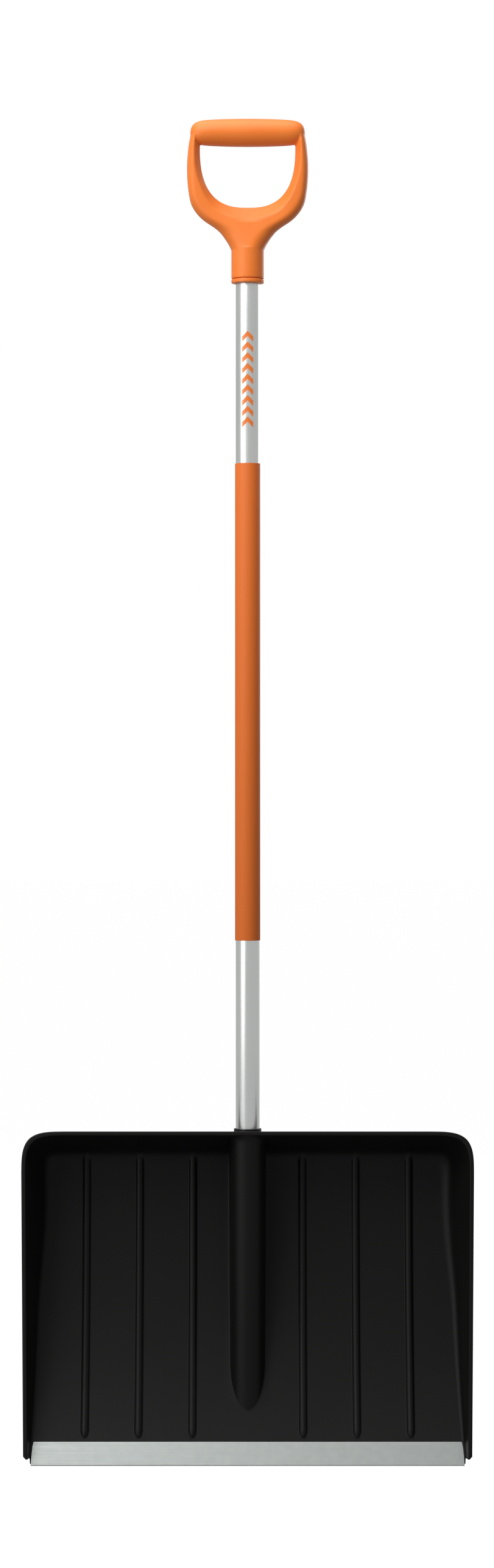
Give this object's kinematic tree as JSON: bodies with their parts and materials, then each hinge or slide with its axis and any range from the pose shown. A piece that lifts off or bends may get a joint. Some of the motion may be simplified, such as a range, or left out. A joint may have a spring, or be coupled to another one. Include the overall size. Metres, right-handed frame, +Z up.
{
  "type": "snow shovel",
  "caption": "Long-handled snow shovel with a wide black scoop blade, metal wear edge, straight tube shaft with a soft sleeve and a D-shaped hand grip.",
  "frame": {"origin": "centre of the wear edge's underside, where the shovel meets the ground", "axes": "+Z up along the straight shaft, +X to the right across the blade, +Y towards the back of the blade, so the open scoop faces -Y"},
  "size_m": [0.5312, 0.1082, 1.5805],
  "materials": {
    "blade_polypropylene": "satin moulded black polypropylene",
    "edge_aluminium": "mill-finish extruded aluminium",
    "rivet_aluminium": "plain aluminium rivet",
    "tube_aluminium": "satin anodised drawn tube",
    "sleeve_orange": "matt orange soft plastic sleeve",
    "plug_plastic": "plain black moulded plastic",
    "screw_steel": "zinc-plated steel",
    "grip_orange": "satin moulded orange plastic"
  },
  "bodies": {
    "root": {"blade": "blade_polypropylene", "wear_edge": "edge_aluminium", "wear_edge_rivets": "rivet_aluminium", "shaft_tube": "tube_aluminium", "grip_sleeve": "sleeve_orange", "lower_tube_plug": "plug_plastic", "upper_tube_plug": "plug_plastic", "blade_screw": "screw_steel", "grip_screw": "screw_steel", "d_grip": "grip_orange"}
  },
  "joints": []
}
